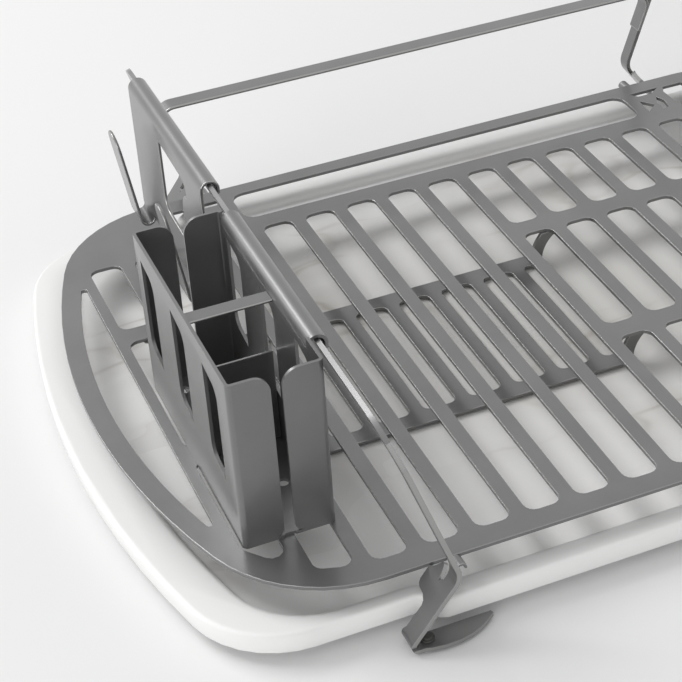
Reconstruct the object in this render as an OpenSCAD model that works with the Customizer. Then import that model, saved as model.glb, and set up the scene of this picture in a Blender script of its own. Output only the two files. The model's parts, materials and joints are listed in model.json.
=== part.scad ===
// Dish drying rack: slotted sheet-steel rack over a white mineral drip tray,
// with a hang-on utensil caddy and a hang-on cup holder.
// Millimetres, +Z up, origin on the counter at the middle of the plate.

/* [Plate] */
// plate length over its two bowed ends
plate_len = 492; // [420:1:600]
// plate depth from front to back
plate_wid = 327; // [280:1:400]
// height of the plate's top face above the counter
plate_z = 30; // [27:0.5:45]
// radius of the bowed ends
end_arc_r = 348; // [300:1:600]
// radius of the four plate corners
plate_corner_r = 65; // [40:1:90]
// steel sheet of the plate and the lower grid
sheet = 2; // [1.2:0.1:2.5]
// width of the bars between slots
bar_w = 7.4; // [6:0.1:10]
// plain margin outside the first and the last slot pitch
end_margin = 30; // [26:1:40]
// plain rim left around the slots at the bowed ends
rim_w = 11; // [8:0.5:14]
// width of the cross ribs
rib_w = 11.5; // [8:0.5:14]
// distance of each cross rib from the middle
rib_y = 51.4; // [45:0.1:60]

/* [Lower grid] */
// drop of the lower grid below the plate's top face
grid_drop = 17; // [12:0.5:20]
// width of the lower slats
slat_w = 7; // [6:0.5:9]
// width of the hanging straps
strap_w = 6.5; // [5:0.5:8]

/* [Side frames] */
// distance of the bend line from the plate's bowed end
bend_in = 108.3; // [95:0.1:125]
// height of the bend line above the plate
bend_up = 4.9; // [3:0.1:8]
// lean of the arms from upright
arm_lean = 19.2; // [12:0.1:25]
// height of the top bar above the plate
bar_up = 84; // [70:1:110]
// splay of the legs from upright
leg_splay = 37.75; // [30:0.25:42]
// sheet of the side frames
frame_sheet = 2.2; // [1.6:0.1:2.6]
// width of the arms
arm_w = 7.5; // [6:0.1:9]
// depth of the top bar
bar_depth = 8; // [6:0.5:11]
// corner radius of the arch
arch_r = 24; // [15:1:35]
// distance from the plate's edge to the outside of a leg
leg_out = 19.5; // [18:0.1:24]
// inside radius of the main bend
bend_r = 8.5; // [6:0.5:12]

/* [Tray] */
// reach of the tray beyond each bowed end of the plate
tray_over = 12; // [8:0.5:20]
// reach of the tray's ends beyond the plate's long edges
tray_side = 2.5; // [2:0.5:4]
// extra depth of the middle part on each side
tray_bulge = 8; // [4:0.5:8.5]
// underside of the tray above the counter
tray_gap = 5.3; // [4:0.1:8]
// thickness of the tray at its rim
tray_t = 11.2; // [9:0.1:11.5]
// depth of the basin
basin_depth = 6.4; // [4:0.1:7]

/* [Rail] */
// height of the rail above the plate
rail_up = 52; // [40:0.5:58]
// depth of the rail's strip
rail_w = 10.5; // [6:0.5:12]

/* [Caddy] */
// caddy width
caddy_w = 42.5; // [38:0.1:44]
// caddy length, front to back
caddy_len = 129; // [100:1:140]
// caddy height
caddy_h = 86.5; // [76:0.5:92]
// sheet of the caddy
caddy_sheet = 1.5; // [1:0.1:1.8]
// gap between the end flanges
flange_gap = 5; // [4:0.5:8]

/* [Cup holder] */
// cup holder length
holder_len = 117; // [106:1:122]
// drop of the holder's panel below the bar
holder_drop = 76; // [60:1:78]
// height of the two cup prongs
prong_h = 60; // [40:1:70]

/* [Hidden] */
$fn = 64;
steel = "#7d7d7b";
plate_hl = plate_len / 2;
plate_hw = plate_wid / 2;
bend_x = plate_hl - bend_in;
slot_count = 18;
slot_pitch = (plate_len - 2 * end_margin) / slot_count;
slot_w = slot_pitch - bar_w;
slot_r = 5;
slot_front = -plate_hw + rim_w;
back_rim = 9;
truss_w = 27;
inner_rim = 11.2;
slot_back = plate_hw - back_rim - truss_w - inner_rim;
tail_x = slot_count / 2 * slot_pitch - bar_w / 2;
leaf_x = tail_x + 5.5;
crescent_rim = rim_w - 1;
tip_r = 1.5;
tray_len = plate_len + 2 * tray_over;
tray_wid = plate_wid + 2 * tray_side;
arc_steps = 4;
plate_under = plate_z - sheet;
grid_first = 1;
grid_slats = 8;
slat_shift = -2;
end_opening = 8;
caddy_end_opening = 14.5;
end_rail = 5.5;
side_rail = 9;
slat_last = slot_x(grid_slats) + slot_pitch / 2 + slat_shift;
slat_start = slat_last - (grid_slats - 1) * slot_pitch;
grid_x0 = slat_start - slat_w / 2 - caddy_end_opening - end_rail;
grid_x1 = slat_last + slat_w / 2 + end_opening + end_rail;
grid_mid = (grid_x0 + grid_x1) / 2;
grid_top = plate_z - grid_drop;
grid_y0 = -rib_y - 5.6;
grid_y1 = rib_y - 1.4;

// side frame
frame_y = plate_hw + leg_out;
bend_z = plate_z + bend_up;
turn = arm_lean + leg_splay;
mid_r = bend_r + frame_sheet / 2;
bend_t = mid_r * tan(turn / 2);
arm_len = (bar_up - bend_up) / cos(arm_lean);
bar_x = -bend_x - arm_len * sin(arm_lean);
bar_z = bend_z + arm_len * cos(arm_lean);
foot_mid_z = 1.5 + frame_sheet / 2;
fold_r = 2.4;
fold_s = (bend_z - foot_mid_z - fold_r * (1 + sin(leg_splay))) / cos(leg_splay);
fold_x = -bend_x - fold_s * sin(leg_splay) + fold_r * cos(leg_splay);
tray_mid_hw = tray_wid / 2 + tray_bulge;
foot_in = tray_mid_hw + 1.2;

// hooks over the top bar
hook_r = 3.5;
hook_tail = 3;
hook_gap = 0.3;
bar_half = frame_sheet / 2 + 0.6;
hook_z = bar_z + hook_gap - sqrt(hook_r * hook_r - bar_half * bar_half);
hook_out = hook_r + caddy_sheet;
corner_r = 2.4;
caddy_y1 = 6.6;
caddy_y0 = caddy_y1 - caddy_len;
caddy_x1 = bar_x - hook_r;
hook_y1 = caddy_y1 - corner_r;
hook_len = caddy_len - 20;
caddy_x0 = caddy_x1 - caddy_w;
caddy_top = plate_z + caddy_h;
divider_y = caddy_y0 + 0.47 * caddy_len;

function slot_x(i) = (i - (slot_count - 1) / 2) * slot_pitch;
function arc(c, r, a0, a1, n) =
  [for (i = [0:n]) let (a = a0 + (a1 - a0) * i / n) c + r * [cos(a), sin(a)]];
function round_rect(x0, y0, x1, y1, r, n = arc_steps) = concat(
  arc([x1 - r, y1 - r], r, 0, 90, n), arc([x0 + r, y1 - r], r, 90, 180, n),
  arc([x0 + r, y0 + r], r, 180, 270, n), arc([x1 - r, y0 + r], r, 270, 360, n));
function corner_x(hl, hw, ra, rc) = hl - ra + sqrt(pow(ra - rc, 2) - pow(hw - rc, 2));
function wedge(hw, ra, rc) = asin((hw - rc) / (ra - rc));

// polygon with every corner rounded, its points given counter-clockwise
function unit(v) = v / norm(v);
function corner(p, a, b, r, n) = let (u = unit(a - p), v = unit(b - p),
    half = acos(u * v) / 2, m = p + unit(u + v) * r / sin(half),
    q = p + u * r / tan(half) - m, start = atan2(q[1], q[0]))
  arc(m, r, start, start + 180 - 2 * half, n);
function round_poly(p, r, n) = let (k = len(p))
  [for (i = [0:k - 1]) each corner(p[i], p[(i + k - 1) % k], p[(i + 1) % k], r, n)];

// where the plain rim begins, as a distance from the middle line
plate_cx = corner_x(plate_hl, plate_hw, end_arc_r, plate_corner_r);
function rim_y(x) = let (c = plate_corner_r - rim_w, d = max(abs(x) - plate_cx, 0))
  plate_hw - plate_corner_r + sqrt(max(c * c - d * d, 0));

// plate edge with bowed ends and round corners
module plate_outline() {
  cy = plate_hw - plate_corner_r;
  e = end_arc_r;
  c = plate_corner_r;
  a = wedge(plate_hw, e, c);
  n = 9;
  polygon(concat(arc([plate_hl - e, 0], e, -a, a, 16), arc([plate_cx, cy], c, a, 90, n),
    arc([-plate_cx, cy], c, 90, 180 - a, n),
    arc([e - plate_hl, 0], e, 180 - a, 180 + a, 16),
    arc([-plate_cx, -cy], c, 180 + a, 270, n),
    arc([plate_cx, -cy], c, 270, 360 - a, n)));
}

module slot(i, y0, y1) {
  a = slot_x(i) - slot_w / 2;
  b = slot_x(i) + slot_w / 2;
  polygon(round_poly([[a, max(y0, -rim_y(a))], [b, max(y0, -rim_y(b))],
    [b, min(y1, rim_y(b))], [a, min(y1, rim_y(a))]], slot_r, arc_steps));
}

// crescent opening between the last bar and the rim of a bowed end
module crescent() {
  c = plate_hl - end_arc_r;
  e = end_arc_r - crescent_rim;
  x = leaf_x + tip_r;
  y = sqrt(pow(e - tip_r, 2) - pow(x - c, 2));
  a = atan2(y, x - c);
  polygon(concat(arc([c, 0], e, -a, a, 16), arc([x, y], tip_r, a, 180, arc_steps),
    arc([x, -y], tip_r, 180, 360 - a, arc_steps)));
}

module slots() {
  for (i = [0:slot_count - 1]) {
    if (i >= grid_first && i <= grid_slats) slot(i, slot_front, slot_back);
    else {
      slot(i, slot_front, -rib_y - rib_w / 2);
      slot(i, -rib_y + rib_w / 2, rib_y - rib_w / 2);
      slot(i, rib_y + rib_w / 2, slot_back);
    }
  }
}

// openings behind the slots: one long slot and a small truss at each end
module truss_openings() {
  y1 = plate_hw - back_rim;
  y0 = y1 - truss_w;
  lx = plate_hl / 2;
  polygon(round_rect(-lx + 2, y0, lx - 2, y1, 7));
  for (m = [0, 1]) mirror([m, 0]) translate([lx, y0]) {
    polygon([[4.5, 2.4], [11.5, 8.5], [5.5, 16]]);
    polygon([[13.5, 1.5], [17.6, 3], [18.6, 11], [16.6, 16], [13.6, 9]]);
    polygon([[7.6, 21], [16.2, 21], [22.6, 25.6], [4.4, 25.6]]);
    polygon([[26, 2.5], [38, 3], [42, 14], [38, 25], [26, 25], [23.6, 19.5], [24, 8]]);
  }
}

module rack_plate() {
  color(steel) translate([0, 0, plate_under]) linear_extrude(sheet) difference() {
    plate_outline();
    slots();
    for (m = [0, 1]) mirror([m, 0]) crescent();
    truss_openings();
  }
}

module lower_grid() {
  color(steel) translate([0, 0, grid_top - sheet]) linear_extrude(sheet) difference() {
    polygon(round_rect(grid_x0, grid_y0, grid_x1, grid_y1, 4));
    for (i = [0:grid_slats]) {
      x = slat_start + (i - 0.5) * slot_pitch;
      x0 = max(x - (slot_pitch - slat_w) / 2, grid_x0 + end_rail);
      x1 = min(x + (slot_pitch - slat_w) / 2, grid_x1 - end_rail);
      polygon(round_rect(x0, grid_y0 + side_rail, x1, grid_y1 - side_rail, slot_r - 1.2));
    }
  }
}

// curved strap standing between the lower grid's end rail and the plate
module grid_hanger(sx, y) {
  h = plate_under - grid_top;
  r = h + 4;
  translate([grid_mid, y, 0]) mirror([sx < 0 ? 1 : 0, 0, 0])
    translate([grid_x1 - grid_mid - end_rail - 1, sheet / 2, grid_top]) rotate([90, 0, 0])
    linear_extrude(sheet) intersection() {
      translate([r + strap_w / 2 + 1.6, -1]) difference() {
        circle(r + strap_w / 2 + 1.6);
        circle(r - strap_w / 2 + 1.6);
      }
      square([r, h]);
    }
}

module grid_hanger_left_front() color(steel) grid_hanger(-1, grid_y0 + side_rail / 2);
module grid_hanger_left_back() color(steel) grid_hanger(-1, grid_y1 - side_rail / 2);
module grid_hanger_right_front() color(steel) grid_hanger(1, grid_y0 + side_rail / 2);
module grid_hanger_right_back() color(steel) grid_hanger(1, grid_y1 - side_rail / 2);

// prism square to a strip: local x runs along the strip, local y along the frame
module prism(x, z, beta, t) {
  translate([x, 0, z]) rotate([0, beta, 0]) linear_extrude(t, center = true) children();
}

// bent line of the side frame in X and Z: arm, bend, leg, fold and foot
foot_len = 37;
bend_cx = -bend_x - bend_t * sin(leg_splay) - mid_r * cos(leg_splay);
bend_cz = bend_z - bend_t * cos(leg_splay) + mid_r * sin(leg_splay);
fold_z = foot_mid_z + fold_r;
half_t = frame_sheet / 2;
module frame_profile() {
  top = [bar_x, bar_z];
  n = half_t * [cos(arm_lean), sin(arm_lean)];
  tip = fold_x + foot_len + 1;
  polygon(concat([top + n],
    arc([bend_cx, bend_cz], mid_r + half_t, arm_lean, -leg_splay, 10),
    arc([fold_x, fold_z], fold_r - half_t, 180 - leg_splay, 270, 8),
    [[tip, foot_mid_z + half_t], [tip, foot_mid_z - half_t]],
    arc([fold_x, fold_z], fold_r + half_t, 270, 180 - leg_splay, 8),
    arc([bend_cx, bend_cz], mid_r - half_t, -leg_splay, arm_lean, 10), [top - n]));
}

module arch_window() {
  r = arch_r - arm_w;
  i = frame_y - arm_w;
  l = arm_len - bar_depth;
  polygon(concat([[-20, i], [-20, -i]], arc([l - r, r - i], r, 270, 360, 8),
    arc([l - r, i - r], r, 0, 90, 8)));
}

module arch_sheet() {
  o = frame_y + 1;
  l = arm_len + 1;
  difference() {
    translate([-7, -o]) square([l + 7, 2 * o]);
    arch_window();
    for (k = [0, 1]) mirror([0, k])
      polygon(concat([[l + 2, o + 2], [l + 2, frame_y - arch_r]],
        arc([arm_len - arch_r, frame_y - arch_r], arch_r, 0, 90, 9),
        [[arm_len - arch_r, o + 2]]));
  }
}

// leg with the notch beside the arm and the lobe that carries the plate
module leg_sheet() {
  o = frame_y;
  e = fold_s + 6;
  polygon([[7, o + 1], [e, o + 1], [e, o - 10.8], [fold_s, o - 10.8], [fold_s - 2, o - 9.8],
    [22.5, o - 9.5], [20.4, o - 10.4], [18.8, o - 13], [18.3, o - 17],
    [17.4, plate_hw + 0.8], [15.6, plate_hw], [8.6, plate_hw], [6.8, plate_hw + 2.6],
    [2.2, o - 13.6], [1.7, o - 12.8], [2.2, o - 12], [9.2, o - 9.9], [7, o - arm_w - 0.6]]);
}

module foot_sheet() {
  o = frame_y;
  far = foot_in;
  polygon([[-0.2, far], [-0.2, o], [5, o + 1.8], [11, o + 2.6], [18, o + 2.4],
    [24, o + 1.2], [30, o - 1.4], [34.5, o - 4.6], [foot_len, far + 1.4], [36.4, far]]);
}

module side_frame() {
  w = frame_y + 3;
  difference() {
    intersection() {
      translate([0, w, 0]) rotate([90, 0, 0]) linear_extrude(2 * w) frame_profile();
      union() {
        prism(-bend_x, bend_z, -90 - arm_lean, 24) arch_sheet();
        for (k = [0, 1]) mirror([0, k, 0]) {
          prism(-bend_x, bend_z, 90 + leg_splay, 12) leg_sheet();
          translate([fold_x, 0, 0]) linear_extrude(foot_mid_z + half_t + 0.4) foot_sheet();
        }
      }
      translate([0, 0, 50]) union() {
        cube([400, 2 * frame_y, 200], center = true);
        translate([0, 0, -50]) cube([400, 2 * w, 2 * (foot_mid_z + half_t) + 0.3], center = true);
      }
    }
    for (s = [-1, 1]) translate([pad_x, s * (frame_y - pad_in), -1])
      cylinder(r = pad_stem, h = 8);
  }
}

pad_x = -bend_x - 14.8;
pad_in = 4.2;
pad_stem = 2;
module foot_pad(sx, sy) {
  top = foot_mid_z + frame_sheet / 2;
  color("#4a4a48") translate([-sx * pad_x, sy * (frame_y - pad_in), 0]) {
    cylinder(r = 4.4, h = foot_mid_z - frame_sheet / 2);
    cylinder(r = pad_stem, h = top + 1);
    translate([0, 0, top]) cylinder(r = 3.3, h = 1);
    translate([0, 0, top + 1]) cylinder(r = 2.3, h = 0.9);
  }
}
module foot_pad_left_front() foot_pad(-1, -1);
module foot_pad_left_back() foot_pad(-1, 1);
module foot_pad_right_front() foot_pad(1, -1);
module foot_pad_right_back() foot_pad(1, 1);

module side_frame_left() color(steel) side_frame();
module side_frame_right() color(steel) mirror([1, 0, 0]) side_frame();

// small open curl at the plate's long edges, just inboard of each arm
curl_r = 2.8;
curl_t = 1.2;
module edge_curl(sx, sy) {
  color(steel) translate([sx * (bend_x - 5.6), 0, plate_z - curl_r])
    mirror([sx > 0 ? 1 : 0, 0, 0]) translate([0, sy > 0 ? plate_hw + 6.5 : -plate_hw, 0])
    rotate([90, 0, 0]) linear_extrude(6.5) difference() {
      circle(curl_r);
      circle(curl_r - curl_t);
      polygon([[0, 0], [9, -2], [9, -9], [0.6, -9]]);
    }
}
module edge_curl_left_front() edge_curl(-1, -1);
module edge_curl_left_back() edge_curl(-1, 1);
module edge_curl_right_front() edge_curl(1, -1);
module edge_curl_right_back() edge_curl(1, 1);

// rail between the two back arms, its ends bent down along them
rail_t = 1.8;
elbow_r = 7.4;
flange_len = 14;
module back_rail() {
  zc = plate_z + rail_up - rail_t / 2;
  a = 90 + arm_lean;
  off = (frame_sheet + rail_t) / 2;
  hit_x = bend_x + (zc - bend_z) * tan(arm_lean) - off / cos(arm_lean);
  t = elbow_r * tan(a / 2);
  h = rail_t / 2;
  cx = hit_x - t;
  cz = zc - elbow_r;
  d = (t + flange_len) * [-sin(arm_lean), -cos(arm_lean)];
  n = h * [cos(arm_lean), -sin(arm_lean)];
  tip = [hit_x, zc] + d;
  side = concat(arc([cx, cz], elbow_r + h, 90, -arm_lean, 10), [tip + n, tip - n],
    arc([cx, cz], elbow_r - h, -arm_lean, 90, 10));
  outer = [for (i = [0:12]) side[i]];
  inner = [for (i = [13:23]) side[i]];
  flip = [for (i = [23:-1:13]) [-side[i][0], side[i][1]]];
  back = [for (i = [12:-1:0]) [-side[i][0], side[i][1]]];
  color(steel) translate([0, frame_y, 0]) rotate([90, 0, 0]) linear_extrude(rail_w)
    polygon(concat(outer, inner, flip, back));
}

// sheet hook over the top bar, drawn in X and Z, its wall end sunk in the wall
hook_skin = 0.02;
module hook_profile() {
  o = hook_out - hook_skin;
  i = hook_r + hook_skin;
  translate([bar_x, hook_z]) polygon(concat([[o, -hook_tail]], arc([0, 0], o, 0, 180, 16),
    [[-o, -1], [-i, -1]], arc([0, 0], i, 180, 0, 16), [[i, -hook_tail]]));
}

// leaf cut-out: two sharp tips, two round shoulders
leaf_w = 17;
leaf_h = 50.5;
leaf_r = 7;
module leaf(w, h, r) {
  polygon(concat([[w, h]], arc([r, h - r - 2], r, 90, 180, 6),
    [[0, 0]], arc([w - r, r + 2], r, 270, 360, 6)));
}

hole_count = 6;
module caddy_shell() {
  s = caddy_sheet;
  gx = (caddy_x0 + caddy_x1) / 2;
  step = (caddy_len - 24) / (hole_count - 1);
  color(steel) difference() {
    union() {
      translate([0, 0, plate_z]) linear_extrude(caddy_h) difference() {
        polygon(round_rect(caddy_x0, caddy_y0, caddy_x1, caddy_y1, corner_r));
        polygon(round_rect(caddy_x0 + s, caddy_y0 + s, caddy_x1 - s, caddy_y1 - s, corner_r - s));
        translate([gx - flange_gap / 2, caddy_y0 - 1])
          square([flange_gap, caddy_len + 2]);
      }
      translate([caddy_x0 + s / 2, caddy_y0 + s / 2, plate_z])
        cube([caddy_w - s, caddy_len - s, s]);
    }
    for (i = [0:hole_count - 1]) for (k = [-1, 1])
      translate([gx + k * 9, caddy_y0 + 12 + i * step, plate_z - 1]) cylinder(r = 2.6, h = s + 2);
    translate([0, caddy_y1 + 1, caddy_top]) rotate([90, 0, 0])
      linear_extrude(caddy_len + 2) difference() {
        translate([gx - flange_gap / 2 - 8, -8]) square([flange_gap + 16, 9]);
        for (k = [-1, 1]) translate([gx + k * (flange_gap / 2 + 8), -8]) circle(8);
      }
    translate([0, caddy_y1 + 1, plate_z + s]) rotate([90, 0, 0])
      linear_extrude(caddy_len + 2) difference() {
        translate([gx - flange_gap / 2 - 4, 0]) square([flange_gap + 8, 4]);
        for (k = [-1, 1]) translate([gx + k * (flange_gap / 2 + 4), 4]) circle(4);
      }
    translate([caddy_x1 - s - 1, hook_y1 - hook_len, hook_z])
      cube([s + 2, hook_len, caddy_h]);
    for (i = [0:2]) translate([caddy_x0 - 1, caddy_y1 - 27.2 - i * 43.2, caddy_top - 59.5])
      rotate([90, 0, 90]) linear_extrude(caddy_w + 2) leaf(leaf_w, leaf_h, leaf_r);
  }
  color(steel) translate([0, hook_y1, 0]) rotate([90, 0, 0])
    linear_extrude(hook_len) hook_profile();
}

module caddy_divider() {
  s = caddy_sheet;
  color(steel) translate([caddy_x0 + s, divider_y - 4, caddy_top - 6.3])
    cube([caddy_w - 2 * s, 8, 1.2]);
}

cross_up = 0.565 * caddy_h;
module caddy_cross_panel() {
  s = caddy_sheet;
  color(steel) translate([caddy_x0 + s, divider_y + 2.4, plate_z + s])
    cube([caddy_w - 2 * s, 1.2, cross_up]);
}

// cup holder: hook, windowed panel, bend and two raised leaf prongs
holder_back = 150;
window_w = 43;
window_h = 41;
prong_lean = 8.5;
prong_w = 18;
prong_bend = 3.65;
module holder_profile() {
  s = caddy_sheet;
  o = hook_out;
  i = hook_r;
  m = bar_x - hook_r - s / 2;
  bz = hook_z - holder_drop + 8;
  c = [m - prong_bend, bz];
  u = (prong_h + 4) * [-sin(prong_lean), cos(prong_lean)];
  e0 = c + (prong_bend + s / 2) * [-cos(prong_lean), -sin(prong_lean)] + u;
  e1 = c + (prong_bend - s / 2) * [-cos(prong_lean), -sin(prong_lean)] + u;
  polygon(concat([[bar_x + o, hook_z - hook_tail]], arc([bar_x, hook_z], o, 0, 180, 16),
    arc(c, prong_bend - s / 2, 0, -180 + prong_lean, 10), [e1, e0],
    arc(c, prong_bend + s / 2, -180 + prong_lean, 0, 10),
    arc([bar_x, hook_z], i, 180, 0, 16), [[bar_x + i, hook_z - hook_tail]]));
}

module prong_face() {
  r = prong_w / 2;
  z = prong_h - 18;
  polygon(concat([[-r, -12], [r, -12], [r, z - 6]], arc([0, z], r, 0, 180, 10), [[-r, z - 6]]));
}

module cup_holder() {
  y0 = holder_back - holder_len;
  px = bar_x - hook_out;
  bz = hook_z - holder_drop + 8;
  color(steel) intersection() {
    translate([0, holder_back, 0]) rotate([90, 0, 0])
      linear_extrude(holder_len) holder_profile();
    union() {
      difference() {
        translate([px - 1, y0 - 1, bz]) cube([30, holder_len + 2, 60 + holder_drop]);
        translate([px - 2, y0 + 26, hook_z - 7 - window_h]) rotate([90, 0, 90])
          linear_extrude(6) leaf(window_w, window_h, leaf_r);
      }
      for (y = [y0 + 26, holder_back - 10]) translate([px - 40, y, bz])
        rotate([90, 0, 90]) linear_extrude(40 + hook_out - hook_r + 1) prong_face();
    }
  }
}

// one ring of the tray's skin; shape is [half length, half depth, end radius,
// corner radius, bulge of the middle], drawn "inset" inside its edge
tray_arc = 500;
tray_corner = 45;
bulge_hl = 146;
bulge_r = 6;
shoulder_n = 4;
end_n = 12;
corner_n = 7;
function shoulder(hw, b, sx, sy, k) = let (t = k / shoulder_n)
  [sx * (bulge_hl + bulge_r - 2 * bulge_r * t), sy * (hw + b * (1 - cos(180 * t)) / 2)];
function ring(shape, inset) = let (
    hl = shape[0] - inset, hw = shape[1] - inset, ra = shape[2] - inset,
    rc = shape[3] - inset, b = shape[4],
    cx = corner_x(hl, hw, ra, rc), cy = hw - rc, a = wedge(hw, ra, rc),
    right = arc([hl - ra, 0], ra, -a, a, end_n),
    left = arc([ra - hl, 0], ra, 180 - a, 180 + a, end_n),
    c1 = arc([cx, cy], rc, a, 90, corner_n), c2 = arc([-cx, cy], rc, 90, 180 - a, corner_n),
    c3 = arc([-cx, -cy], rc, 180 + a, 270, corner_n),
    c4 = arc([cx, -cy], rc, 270, 360 - a, corner_n))
  concat(right, [for (k = [1:corner_n]) c1[k]],
    [for (k = [0:shoulder_n]) shoulder(hw, b, 1, 1, k)],
    [for (k = [shoulder_n:-1:0]) shoulder(hw, b, -1, 1, k)],
    c2, [for (k = [1:end_n]) left[k]], [for (k = [1:corner_n]) c3[k]],
    [for (k = [0:shoulder_n]) shoulder(hw, b, -1, -1, k)],
    [for (k = [shoulder_n:-1:0]) shoulder(hw, b, 1, -1, k)],
    [for (k = [0:corner_n - 1]) c4[k]]);

edge_r = 2;
foot_r = 1.2;
basin_in = 21;
basin_side = 9;
basin_bulge = 4.5;
basin_lip = 4;
module stone_tray() {
  hl = tray_len / 2;
  hw = tray_wid / 2;
  body = [hl, hw, tray_arc, tray_corner, tray_bulge];
  basin = [hl - basin_in, hw - basin_side, tray_arc - basin_in,
    tray_corner - basin_side, min(basin_bulge, tray_bulge)];
  f = basin_depth - basin_lip;
  t = tray_t;
  steps = [0:4];
  rings = concat(
    [[body, foot_r, 0], [body, 0, foot_r]],
    [for (k = steps) let (a = 22.5 * k)
      [body, edge_r * (1 - cos(a)), t - edge_r * (1 - sin(a))]],
    [for (k = steps) let (a = 22.5 * k)
      [basin, -basin_lip * (1 - sin(a)), t - basin_lip * (1 - cos(a))]],
    [for (k = [1:3]) let (a = 30 * k)
      [basin, f * (1 - cos(a)), t - basin_lip - f * sin(a)]]);
  flat_rings = [for (r = rings) ring(r[0], r[1])];
  n = len(flat_rings[0]);
  last = len(rings) - 1;
  points = concat(
    [for (k = [0:last]) for (q = flat_rings[k]) [q[0], q[1], rings[k][2]]],
    [[0, 0, 0], [0, 0, t - basin_depth]]);
  low = (last + 1) * n;
  faces = concat(
    [for (k = [0:last - 1]) for (j = [0:n - 1]) let (i = (j + 1) % n)
      [k * n + j, (k + 1) * n + j, (k + 1) * n + i]],
    [for (k = [0:last - 1]) for (j = [0:n - 1]) let (i = (j + 1) % n)
      [k * n + j, (k + 1) * n + i, k * n + i]],
    [for (j = [0:n - 1]) [low, j, (j + 1) % n]],
    [for (j = [0:n - 1]) [low + 1, last * n + (j + 1) % n, last * n + j]]);
  color("#e9e9e6") translate([0, 0, tray_gap]) polyhedron(points, faces);
}

module tray_pads() {
  for (sx = [-1, 1], sy = [-1, 1])
    color("#4a4a48") translate([sx * tray_len * 0.36, sy * tray_wid * 0.36, 0])
      cylinder(r = 9, h = tray_gap);
}

stone_tray();
tray_pads();
rack_plate();
lower_grid();
grid_hanger_left_front();
grid_hanger_left_back();
grid_hanger_right_front();
grid_hanger_right_back();
side_frame_left();
side_frame_right();
edge_curl_left_front();
edge_curl_left_back();
edge_curl_right_front();
edge_curl_right_back();
foot_pad_left_front();
foot_pad_left_back();
foot_pad_right_front();
foot_pad_right_back();
back_rail();
caddy_shell();
caddy_divider();
caddy_cross_panel();
cup_holder();
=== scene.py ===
"""Dish drying rack: powder-coated steel rack over a pressed mineral tray, with a caddy and a cup holder."""

import json
import math

import bmesh
import bpy
from mathutils import Matrix, Vector

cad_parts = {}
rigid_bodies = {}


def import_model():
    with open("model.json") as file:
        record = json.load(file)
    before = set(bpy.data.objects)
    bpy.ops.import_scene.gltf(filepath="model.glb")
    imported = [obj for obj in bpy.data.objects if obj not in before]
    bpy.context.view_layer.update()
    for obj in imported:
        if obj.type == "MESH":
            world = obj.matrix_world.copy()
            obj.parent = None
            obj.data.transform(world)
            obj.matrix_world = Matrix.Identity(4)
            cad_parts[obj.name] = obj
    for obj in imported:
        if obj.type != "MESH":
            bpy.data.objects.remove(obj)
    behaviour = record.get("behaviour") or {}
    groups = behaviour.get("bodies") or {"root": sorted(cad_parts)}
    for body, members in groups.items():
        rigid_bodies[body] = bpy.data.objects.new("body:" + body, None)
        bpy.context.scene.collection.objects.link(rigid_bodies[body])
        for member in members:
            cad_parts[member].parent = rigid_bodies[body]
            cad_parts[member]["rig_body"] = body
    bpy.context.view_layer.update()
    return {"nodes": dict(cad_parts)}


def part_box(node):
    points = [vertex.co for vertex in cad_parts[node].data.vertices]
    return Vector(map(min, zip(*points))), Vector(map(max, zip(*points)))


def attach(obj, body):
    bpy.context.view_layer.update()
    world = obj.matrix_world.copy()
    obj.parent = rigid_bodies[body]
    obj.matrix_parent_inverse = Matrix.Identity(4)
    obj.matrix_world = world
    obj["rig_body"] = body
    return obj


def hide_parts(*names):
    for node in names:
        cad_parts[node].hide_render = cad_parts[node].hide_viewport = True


bl_info = {
    "name": "Dish drying rack",
    "version": (1, 0, 0),
    "blender": (4, 5, 0),
    "location": "3D View > Sidebar > Dish rack",
    "description": "Dresses the steel rack, its tray, its caddy and its cup holder, and sets the stage",
    "category": "Object",
}

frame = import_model()

MM = 0.001

# triangles that meet within FLAT_ANGLE are one face; an edge sharper than SMOOTH_ANGLE is a real edge
MERGE_DISTANCE = 0.001 * MM
FLAT_ANGLE = math.radians(0.6)
SMOOTH_ANGLE = math.radians(38)
# the rounding of a moulded rubber edge
PAD_EDGE = 0.3 * MM


def linear(hex_colour):
    """An sRGB hex colour as linear red, green, blue and alpha."""
    values = [int(hex_colour[k:k + 2], 16) / 255 for k in (1, 3, 5)]
    curve = [v / 12.92 if v <= 0.04045 else ((v + 0.055) / 1.055) ** 2.4 for v in values]
    return (*curve, 1.0)


# ---- materials ----

def add_node(owner, kind, settings=None, links=None):
    """Adds a node to a material or a world, sets its attributes and sockets (by name or number),
    and makes its links, each given as (socket, from node, from socket)."""
    node = owner.node_tree.nodes.new(kind)
    for key, value in (settings or {}).items():
        if isinstance(key, str) and hasattr(node, key):
            setattr(node, key, value)
        else:
            node.inputs[key].default_value = value
    for socket, source, output in links or []:
        owner.node_tree.links.new(source.outputs[output], node.inputs[socket])
    return node


def new_material(name):
    """An empty node material with its shader and object coordinates."""
    material = bpy.data.materials.new(name)
    material.use_nodes = True
    shader = material.node_tree.nodes["Principled BSDF"]
    place = add_node(material, "ShaderNodeTexCoord")
    return material, shader, place


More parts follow.
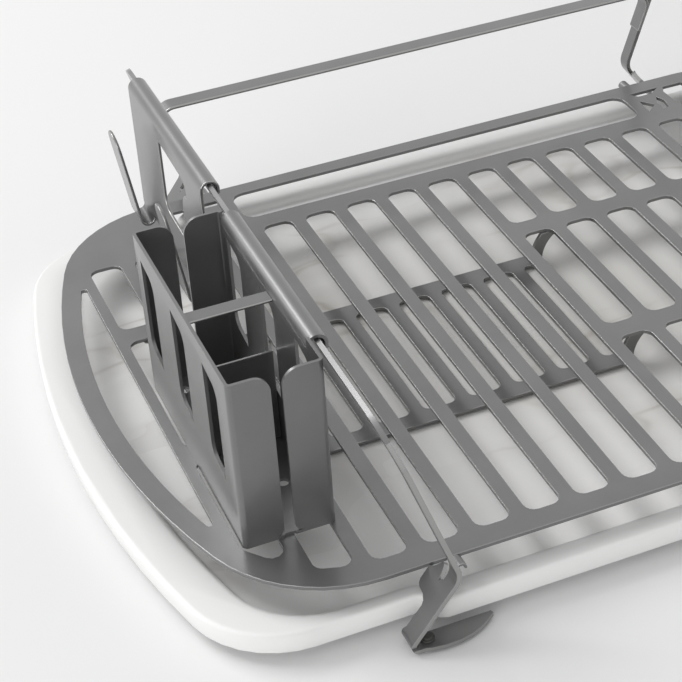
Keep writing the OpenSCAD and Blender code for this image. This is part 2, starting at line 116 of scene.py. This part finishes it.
def powder_coated_steel(props):
    """Cold-rolled sheet steel, punched, bent and powder coated in a satin grey with a metal flake.
    The eye sees broad soft reflections, a faint cloud in the tone and a fine grain."""
    material, shader, place = new_material("Powder-coated sheet steel, satin grey")
    # the coat's thickness drifts over about 35 mm, which clouds its tone
    drift_mm = 35
    drift = add_node(material, "ShaderNodeTexNoise",
                     {"Scale": 1 / (drift_mm * MM), "Detail": 4.0},
                     [("Vector", place, "Object")])
    tone = add_node(material, "ShaderNodeValToRGB", {}, [("Fac", drift, "Fac")])
    tone.color_ramp.elements[0].position = 0.35
    tone.color_ramp.elements[0].color = linear(props.steel_dark_hex)
    tone.color_ramp.elements[1].position = 0.65
    tone.color_ramp.elements[1].color = linear(props.steel_hex)
    material.node_tree.links.new(tone.outputs["Color"], shader.inputs["Base Color"])
    shader.inputs["Metallic"].default_value = props.steel_flake
    shader.inputs["Roughness"].default_value = props.steel_roughness
    # the clear resin over the flakes shines at a low angle
    shader.inputs["Coat Weight"].default_value = props.steel_coat
    shader.inputs["Coat Roughness"].default_value = 0.18
    # the powder's grain is about 0.1 mm; it is drawn at 0.5 mm, the finest that shows
    grain_mm = 0.5
    grain = add_node(material, "ShaderNodeTexNoise",
                     {"Scale": 1 / (grain_mm * MM), "Detail": 2.0},
                     [("Vector", place, "Object")])
    bump = add_node(material, "ShaderNodeBump", {"Strength": 0.08, "Distance": 0.02 * MM},
                    [("Height", grain, "Fac")])
    material.node_tree.links.new(bump.outputs["Normal"], shader.inputs["Normal"])
    return material


def steel_edge_painted_highlight(props):
    """The same sheet on its rounded edges and cut faces: smoother, fully metallic and lighter in colour,
    the lighter colour being a painted highlight.
    The eye sees a fine bright line on the edges, brightest on those that face the light."""
    material, shader, _ = new_material("Powder-coated sheet steel, edge with painted highlight")
    # painted highlight: the edge colour is lighter than the coat, so every edge shows a bright line
    shader.inputs["Base Color"].default_value = linear(props.edge_painted_highlight_hex)
    shader.inputs["Metallic"].default_value = 1.0
    shader.inputs["Roughness"].default_value = 0.25
    return material


def pressed_diatomite(props):
    """Diatomaceous earth with a marbled grain, pressed into a slab and sanded: chalky and fully matt.
    The eye sees a plain white rim, and in the basin broad pale flakes with warm veins between some."""
    material, shader, place = new_material("Pressed diatomite, marbled and sanded")
    # the flakes are about 107 mm long and half as wide, laid at a slant; slow folds bend their outlines
    flake_mm, fold_mm, fold_reach_mm = 75, 90, 80
    slant = math.radians(22)
    lay = add_node(material, "ShaderNodeMapping",
                   {"Rotation": (0, 0, slant), "Scale": (0.7, 1.4, 1.0)},
                   [("Vector", place, "Object")])
    fold = add_node(material, "ShaderNodeTexNoise",
                    {"Scale": 1 / (fold_mm * MM), "Detail": 3.0},
                    [("Vector", lay, "Vector")])
    bend = add_node(material, "ShaderNodeVectorMath",
                    {"operation": "SCALE", "Scale": fold_reach_mm * MM}, [("Vector", fold, "Color")])
    bent = add_node(material, "ShaderNodeVectorMath", {"operation": "ADD"},
                    [(0, lay, "Vector"), (1, bend, "Vector")])
    flakes = add_node(material, "ShaderNodeTexVoronoi", {"Scale": 1 / (flake_mm * MM)},
                      [("Vector", bent, "Vector")])
    seams = add_node(material, "ShaderNodeTexVoronoi",
                     {"feature": "DISTANCE_TO_EDGE", "Scale": 1 / (flake_mm * MM)},
                     [("Vector", bent, "Vector")])
    # only some seams hold a vein, in patches of about 120 mm
    patch_mm = 120
    patch = add_node(material, "ShaderNodeTexNoise",
                     {"Scale": 1 / (patch_mm * MM), "Detail": 3.0}, [("Vector", place, "Object")])
    veined = add_node(material, "ShaderNodeMapRange", {"From Min": 0.48, "From Max": 0.66},
                      [("Value", patch, "Fac")])
    # each vein is a fine line with a soft halo, as parts of the distance between two veins
    line = add_node(material, "ShaderNodeMapRange",
                    {"From Min": 0.005, "From Max": 0.04, "To Min": 0.35, "To Max": 0.0},
                    [("Value", seams, "Distance")])
    halo = add_node(material, "ShaderNodeMapRange",
                    {"From Min": 0.0, "From Max": 0.2, "To Min": 0.3, "To Max": 0.0},
                    [("Value", seams, "Distance")])
    near = add_node(material, "ShaderNodeMath", {"operation": "ADD"},
                    [(0, line, "Result"), (1, halo, "Result")])
    vein = add_node(material, "ShaderNodeMath", {"operation": "MULTIPLY"},
                    [(0, near, "Value"), (1, veined, "Result")])
    # painted shade: the middle of the basin, where the lower grid shades it, is greyed towards its centre
    low_corner, high_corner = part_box("stone_tray")
    shade_spread_share = 0.42
    reach_x, reach_y = (shade_spread_share * (high_corner[k] - low_corner[k]) for k in (0, 1))
    spot = add_node(material, "ShaderNodeMapping",
                    {"Scale": (1 / reach_x, 1 / reach_y, 0.0)}, [("Vector", place, "Object")])
    away = add_node(material, "ShaderNodeVectorMath", {"operation": "LENGTH"},
                    [("Vector", spot, "Vector")])
    painted_shade_fac = add_node(material, "ShaderNodeMapRange",
                    {"From Min": 0.25, "From Max": 1.0, "To Min": 1.0, "To Max": 0.0},
                    [("Value", away, "Value")])
    # sanding leaves the rim plain, so the marbling shows only where the basin's floor faces up; that
    # floor's colours are also lighter than the rim's, a painted light for the light that reaches it through
    # the slots
    rim_top = high_corner[2]
    fade_depth = 4 * MM
    height = add_node(material, "ShaderNodeSeparateXYZ", {}, [("Vector", place, "Object")])
    sunk = add_node(material, "ShaderNodeMapRange",
                    {"From Min": rim_top, "From Max": rim_top - fade_depth},
                    [("Value", height, "Z")])
    facing = add_node(material, "ShaderNodeSeparateXYZ", {}, [("Vector", place, "Normal")])
    level = add_node(material, "ShaderNodeMapRange", {"From Min": 0.8, "From Max": 0.97},
                     [("Value", facing, "Z")])
    basin = add_node(material, "ShaderNodeMath", {"operation": "MULTIPLY"},
                     [(0, sunk, "Result"), (1, level, "Result")])
    # a mix of colours takes its factor at socket 0 and its colours at 6 and 7, and gives output 2
    cloud = add_node(material, "ShaderNodeMix",
                     {"data_type": "RGBA", 6: linear(props.basin_stone_with_painted_light_hex),
                      7: linear(props.basin_mottle_with_painted_light_hex)},
                     [(0, flakes, "Color")])
    # painted shade laid over the flake cloud
    cloud_with_painted_shade = add_node(material, "ShaderNodeMix",
                      {"data_type": "RGBA", 7: linear(props.stone_painted_shade_hex)},
                      [(0, painted_shade_fac, "Result"), (6, cloud, 2)])
    marbled = add_node(material, "ShaderNodeMix",
                       {"data_type": "RGBA", 7: linear(props.stone_vein_hex)},
                       [(0, vein, "Value"), (6, cloud_with_painted_shade, 2)])
    # painted light: the basin floor takes the lighter marbled colours, the rest takes the rim's colour
    whole = add_node(material, "ShaderNodeMix",
                     {"data_type": "RGBA", 6: linear(props.stone_rim_hex)},
                     [(0, basin, "Value"), (7, marbled, 2)])
    material.node_tree.links.new(whole.outputs[2], shader.inputs["Base Color"])
    shader.inputs["Roughness"].default_value = 0.9
    shader.inputs["Specular IOR Level"].default_value = 0.25
    # sanding grit of about 0.2 mm, drawn at 0.8 mm
    grit_mm = 0.8
    grit = add_node(material, "ShaderNodeTexNoise",
                    {"Scale": 1 / (grit_mm * MM), "Detail": 4.0},
                    [("Vector", place, "Object")])
    bump = add_node(material, "ShaderNodeBump", {"Strength": 0.12, "Distance": 0.08 * MM},
                    [("Height", grit, "Fac")])
    material.node_tree.links.new(bump.outputs["Normal"], shader.inputs["Normal"])
    return material


def moulded_rubber(props):
    """Silicone rubber, compression moulded: dull mid grey, slightly soft highlights."""
    material, shader, _ = new_material("Silicone rubber, moulded grey")
    shader.inputs["Base Color"].default_value = linear(props.rubber_hex)
    shader.inputs["Roughness"].default_value = 0.6
    shader.inputs["IOR"].default_value = 1.41
    return material


# ---- properties ----

class DishRackProperties(bpy.types.PropertyGroup):
    """Colours and edge sizes of the rack."""

    steel_hex: bpy.props.StringProperty(
        name="Steel colour", description="sRGB hex colour of the powder coat", default="#7B7B7B")
    steel_dark_hex: bpy.props.StringProperty(
        name="Steel cloud", description="sRGB hex colour where the coat is thick", default="#747474")
    # painted highlight: the lighter colour of the rounded edges and cut faces
    edge_painted_highlight_hex: bpy.props.StringProperty(
        name="Edge colour", description="sRGB hex colour of the edges, lightened as a painted highlight", default="#A3A3A2")
    steel_flake: bpy.props.FloatProperty(
        name="Metal flake", description="How metallic the powder coat looks", default=0.7,
        min=0.0, max=1.0, subtype="FACTOR")
    steel_roughness: bpy.props.FloatProperty(
        name="Steel roughness", description="Roughness of the powder coat", default=0.37,
        min=0.0, max=1.0, subtype="FACTOR")
    steel_coat: bpy.props.FloatProperty(
        name="Steel coat", description="Strength of the clear resin over the flakes", default=0.6,
        min=0.0, max=1.0, subtype="FACTOR")
    # painted light: the basin's colours are lighter than the rim's, for light reaching the basin under the
    # plate
    basin_stone_with_painted_light_hex: bpy.props.StringProperty(
        name="Stone colour", description="sRGB hex colour of the basin", default="#FCFCFB")
    stone_rim_hex: bpy.props.StringProperty(
        name="Stone rim", description="sRGB hex colour of the sanded rim", default="#EFEFEE")
    basin_mottle_with_painted_light_hex: bpy.props.StringProperty(
        name="Stone mottle", description="sRGB hex colour of the tray's mottling", default="#F3F2F1")
    # painted shade: greys the middle of the basin, where the lower grid shades it
    stone_painted_shade_hex: bpy.props.StringProperty(
        name="Stone painted shade", description="sRGB hex colour of the painted shade under the lower grid", default="#E4E3E0")
    stone_vein_hex: bpy.props.StringProperty(
        name="Stone vein", description="sRGB hex colour of the tray's warm veins", default="#B1A99D")
    rubber_hex: bpy.props.StringProperty(
        name="Rubber colour", description="sRGB hex colour of the pads", default="#4A4A48")
    sheet_edge: bpy.props.FloatProperty(
        name="Rack edge", description="Rounding of the rack's sheet edges", default=0.75 * MM,
        min=0.0, max=MM, subtype="DISTANCE", unit="LENGTH")
    thin_edge: bpy.props.FloatProperty(
        name="Caddy edge", description="Rounding of the thinner sheet of caddy and cup holder",
        default=0.5 * MM, min=0.0, max=0.7 * MM, subtype="DISTANCE", unit="LENGTH")


class DishRackStageProperties(bpy.types.PropertyGroup):
    """Camera, floor and light."""

    azimuth: bpy.props.FloatProperty(
        name="Azimuth", description="The camera's side angle", default=math.radians(19.67),
        subtype="ANGLE", unit="ROTATION")
    elevation: bpy.props.FloatProperty(
        name="Elevation", description="The camera's angle above the horizon",
        default=math.radians(35.62), subtype="ANGLE", unit="ROTATION")
    roll: bpy.props.FloatProperty(
        name="Roll", description="The camera's tilt about its own axis",
        default=math.radians(-4.10), subtype="ANGLE", unit="ROTATION")
    lens: bpy.props.FloatProperty(
        name="Lens", description="Focal length on a 36 mm sensor", default=98.95,
        min=20.0, max=300.0, subtype="DISTANCE_CAMERA", unit="CAMERA")
    floor_hex: bpy.props.StringProperty(
        name="Floor colour", description="sRGB hex colour of the worktop", default="#EFEFEF")
    window_light: bpy.props.FloatProperty(
        name="Window light", description="Power of the wide window behind the rack", default=52.0,
        min=0.0, max=500.0, subtype="POWER", unit="POWER")
    fill_light: bpy.props.FloatProperty(
        name="Fill light", description="Power of the low fill from the caddy's corner", default=24.0,
        min=0.0, max=500.0, subtype="POWER", unit="POWER")
    room_light: bpy.props.FloatProperty(
        name="Room light", description="Strength of the even light of the room", default=0.52,
        min=0.0, max=2.0)


# ---- making pieces ----

def dress(node, name, material, edge, edge_material=None, cut=None):
    """A copy of a CAD node with its triangles merged, its edges rounded and its curves smooth.
    The rounded edges, and the faces whose normal passes the test cut, take edge_material, whose lighter
    colour is a painted highlight."""
    source = frame["nodes"][node]
    mesh = source.data.copy()
    mesh.name = name
    work = bmesh.new()
    work.from_mesh(mesh)
    bmesh.ops.remove_doubles(work, verts=work.verts, dist=MERGE_DISTANCE)
    bmesh.ops.dissolve_limit(work, angle_limit=FLAT_ANGLE, verts=work.verts, edges=work.edges)
    work.to_mesh(mesh)
    work.free()
    mesh.materials.clear()
    mesh.materials.append(material)
    mesh.shade_smooth()
    mesh.set_sharp_from_angle(angle=SMOOTH_ANGLE)
    piece = bpy.data.objects.new(name, mesh)
    bpy.context.scene.collection.objects.link(piece)
    if edge:
        bevel = piece.modifiers.new("Deburred edges", "BEVEL")
        bevel.width = edge
        bevel.segments = 2
        bevel.limit_method = "ANGLE"
        bevel.angle_limit = SMOOTH_ANGLE
        bevel.harden_normals = True
        if edge_material:
            mesh.materials.append(edge_material)
            bevel.material = 1
        if cut:
            for face in mesh.polygons:
                face.material_index = int(cut(face.normal))
    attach(piece, source["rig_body"])
    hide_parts(node)
    return piece


def material_named(name, make):
    """The material of that kind, made once: the scene keeps the name that it got."""
    scene = bpy.context.scene
    if name not in scene:
        scene[name] = make(scene.dish_rack).name
    return bpy.data.materials[scene[name]]


def steel():
    return material_named("rack_steel", powder_coated_steel)


def steel_edge():
    return material_named("rack_steel_edge", steel_edge_painted_highlight)


def stone():
    return material_named("rack_stone", pressed_diatomite)


def rubber():
    return material_named("rack_rubber", moulded_rubber)


def cross_sheet_cut(normal):
    """Whether a face of a sheet bent about Y is a cut face: those lie within 45 degrees of Y."""
    return abs(normal.y) > 0.7


def dress_steel(nodes, edge, cut=None):
    """Sheet-steel pieces, each named after its node, with their edges rounded by edge."""
    for node in nodes:
        dress(node, f"{node}.finished", steel(), edge, steel_edge(), cut)


CORNERS = [f"{side}_{end}" for side in ("left", "right") for end in ("front", "back")]


class DISHRACK_OT_plate(bpy.types.Operator):
    """Dress the slotted plate, the lower grid and its straps"""

    bl_idname = "dish_rack.plate"
    bl_label = "Plate and lower grid"

    def execute(self, context):
        edge = context.scene.dish_rack.sheet_edge
        dress_steel(["rack_plate", "lower_grid"], edge)
        dress_steel([f"grid_hanger_{corner}" for corner in CORNERS], edge)
        return {"FINISHED"}


class DISHRACK_OT_side_frames(bpy.types.Operator):
    """Dress the arched side frames, the back rail and the edge curls"""

    bl_idname = "dish_rack.side_frames"
    bl_label = "Side frames and rail"

    def execute(self, context):
        props = context.scene.dish_rack
        # the side frames' cut faces take the painted-highlight edge colour too
        dress_steel(["side_frame_left", "side_frame_right"], props.sheet_edge, cross_sheet_cut)
        dress_steel(["back_rail"], props.sheet_edge)
        dress_steel([f"edge_curl_{corner}" for corner in CORNERS], props.thin_edge)
        return {"FINISHED"}


class DISHRACK_OT_pads(bpy.types.Operator):
    """Dress the rubber foot pads and the tray's pads"""

    bl_idname = "dish_rack.pads"
    bl_label = "Rubber pads"

    def execute(self, context):
        for node in [f"foot_pad_{corner}" for corner in CORNERS] + ["tray_pads"]:
            dress(node, f"{node}.finished", rubber(), PAD_EDGE)
        return {"FINISHED"}


class DISHRACK_OT_tray(bpy.types.Operator):
    """Dress the pressed mineral tray"""

    bl_idname = "dish_rack.tray"
    bl_label = "Drip tray"

    def execute(self, context):
        dress("stone_tray", "stone_tray.finished", stone(), 0)
        return {"FINISHED"}


class DISHRACK_OT_caddy(bpy.types.Operator):
    """Dress the hang-on utensil caddy"""

    bl_idname = "dish_rack.caddy"
    bl_label = "Utensil caddy"

    def execute(self, context):
        dress_steel(["caddy_shell", "caddy_divider", "caddy_cross_panel"],
                    context.scene.dish_rack.thin_edge)
        return {"FINISHED"}


class DISHRACK_OT_cup_holder(bpy.types.Operator):
    """Dress the hang-on cup holder"""

    bl_idname = "dish_rack.cup_holder"
    bl_label = "Cup holder"

    def execute(self, context):
        dress_steel(["cup_holder"], context.scene.dish_rack.thin_edge)
        return {"FINISHED"}


# ---- stage ----

# places and sizes in metres, in the part's own frame
CAMERA_PLACE = (-0.3674, -0.6996, 0.5623)
WINDOW_PLACE, WINDOW_AIM, WINDOW_SIZE = (-1.5, 1.55, 2.2), (0, 0, 0), (2.0, 1.3)
FILL_PLACE, FILL_AIM, FILL_SIZE = (-2.2, -1.6, 0.8), (0, 0, 0.05), (2.0, 1.2)
FLOOR_HALF = 4.0
BACKDROP_HEX = "#F0F0F0"


def make_camera(props):
    """A long lens above the caddy's end of the front edge."""
    data = bpy.data.cameras.new("Camera")
    data.sensor_width = 36
    data.lens = props.lens
    camera = bpy.data.objects.new("Camera", data)
    bpy.context.scene.collection.objects.link(camera)
    a, e = props.azimuth, props.elevation
    ahead = Vector((math.sin(a) * math.cos(e), math.cos(a) * math.cos(e), -math.sin(e)))
    side = ahead.cross(Vector((0, 0, 1))).normalized()
    up = side.cross(ahead)
    right = math.cos(props.roll) * side + math.sin(props.roll) * up
    top = math.cos(props.roll) * up - math.sin(props.roll) * side
    turn = Matrix((right, top, -ahead)).transposed().to_4x4()
    camera.matrix_world = Matrix.Translation(CAMERA_PLACE) @ turn
    bpy.context.scene.camera = camera


def make_floor(props):
    """A wide pale worktop that keeps the soft shadow."""
    half = FLOOR_HALF
    mesh = bpy.data.meshes.new("Worktop")
    mesh.from_pydata([(-half, -half, 0), (half, -half, 0), (half, half, 0), (-half, half, 0)], [],
                     [(0, 1, 2, 3)])
    floor = bpy.data.objects.new("Worktop", mesh)
    bpy.context.scene.collection.objects.link(floor)
    # lacquered board: plain, pale and matt
    material, shader, _ = new_material("Lacquered board, matt white")
    shader.inputs["Base Color"].default_value = linear(props.floor_hex)
    shader.inputs["Roughness"].default_value = 0.8
    shader.inputs["Specular IOR Level"].default_value = 0.2
    mesh.materials.append(material)


def area_lamp(name, place, aim, size, power):
    """A rectangular soft white light at place, turned to aim."""
    data = bpy.data.lights.new(name, "AREA")
    data.shape = "RECTANGLE"
    data.size, data.size_y = size
    data.energy = power
    lamp = bpy.data.objects.new(name, data)
    bpy.context.scene.collection.objects.link(lamp)
    lamp.location = place
    lamp.rotation_euler = (Vector(aim) - Vector(place)).to_track_quat("-Z", "Y").to_euler()


def make_light(props):
    """A wide high window behind the rack, a low fill from the caddy's corner and an even room."""
    area_lamp("Window", WINDOW_PLACE, WINDOW_AIM, WINDOW_SIZE, props.window_light)
    area_lamp("Fill", FILL_PLACE, FILL_AIM, FILL_SIZE, props.fill_light)
    world = bpy.data.worlds.new("Room")
    bpy.context.scene.world = world
    world.use_nodes = True
    tree = world.node_tree
    room = tree.nodes["Background"]
    room.inputs["Color"].default_value = (1, 1, 1, 1)
    room.inputs["Strength"].default_value = props.room_light
    backdrop = add_node(world, "ShaderNodeBackground",
                        {"Color": linear(BACKDROP_HEX), "Strength": 1.0})
    # the camera, reflections and clear things see the backdrop; the room lights only matt surfaces
    ray = add_node(world, "ShaderNodeLightPath")
    mirrored = add_node(world, "ShaderNodeMath", {"operation": "MAXIMUM"},
                        [(0, ray, "Is Camera Ray"), (1, ray, "Is Glossy Ray")])
    seen = add_node(world, "ShaderNodeMath", {"operation": "MAXIMUM"},
                    [(0, mirrored, "Value"), (1, ray, "Is Transmission Ray")])
    mix = add_node(world, "ShaderNodeMixShader", {},
                   [(0, seen, "Value"), (1, room, "Background"), (2, backdrop, "Background")])
    tree.links.new(mix.outputs["Shader"], tree.nodes["World Output"].inputs["Surface"])


class DISHRACK_OT_stage(bpy.types.Operator):
    """Set up the camera, the worktop and the light"""

    bl_idname = "dish_rack.stage"
    bl_label = "Stage"

    def execute(self, context):
        props = context.scene.dish_rack_stage
        make_camera(props)
        make_floor(props)
        make_light(props)
        context.scene.view_settings.view_transform = "Standard"
        return {"FINISHED"}


OPERATORS = (DISHRACK_OT_stage, DISHRACK_OT_plate, DISHRACK_OT_side_frames, DISHRACK_OT_pads,
             DISHRACK_OT_tray, DISHRACK_OT_caddy, DISHRACK_OT_cup_holder)


class DISHRACK_PT_panel(bpy.types.Panel):
    """The rack's colours, sizes and steps"""

    bl_idname = "DISHRACK_PT_panel"
    bl_label = "Dish rack"
    bl_space_type = "VIEW_3D"
    bl_region_type = "UI"
    bl_category = "Dish rack"

    def draw(self, context):
        for props in (context.scene.dish_rack, context.scene.dish_rack_stage):
            for name in props.__annotations__:
                self.layout.prop(props, name)
        for operator in OPERATORS:
            self.layout.operator(operator.bl_idname)


CLASSES = (DishRackProperties, DishRackStageProperties, *OPERATORS, DISHRACK_PT_panel)


def register():
    for item in CLASSES:
        bpy.utils.register_class(item)
    bpy.types.Scene.dish_rack = bpy.props.PointerProperty(type=DishRackProperties)
    bpy.types.Scene.dish_rack_stage = bpy.props.PointerProperty(type=DishRackStageProperties)


def unregister():
    del bpy.types.Scene.dish_rack_stage
    del bpy.types.Scene.dish_rack
    for item in reversed(CLASSES):
        bpy.utils.unregister_class(item)


def main():
    """Makes the stage and every piece."""
    register()
    bpy.ops.dish_rack.stage()
    bpy.ops.dish_rack.plate()
    bpy.ops.dish_rack.side_frames()
    bpy.ops.dish_rack.pads()
    bpy.ops.dish_rack.tray()
    bpy.ops.dish_rack.caddy()
    bpy.ops.dish_rack.cup_holder()


if __name__ == "__main__":
    main()
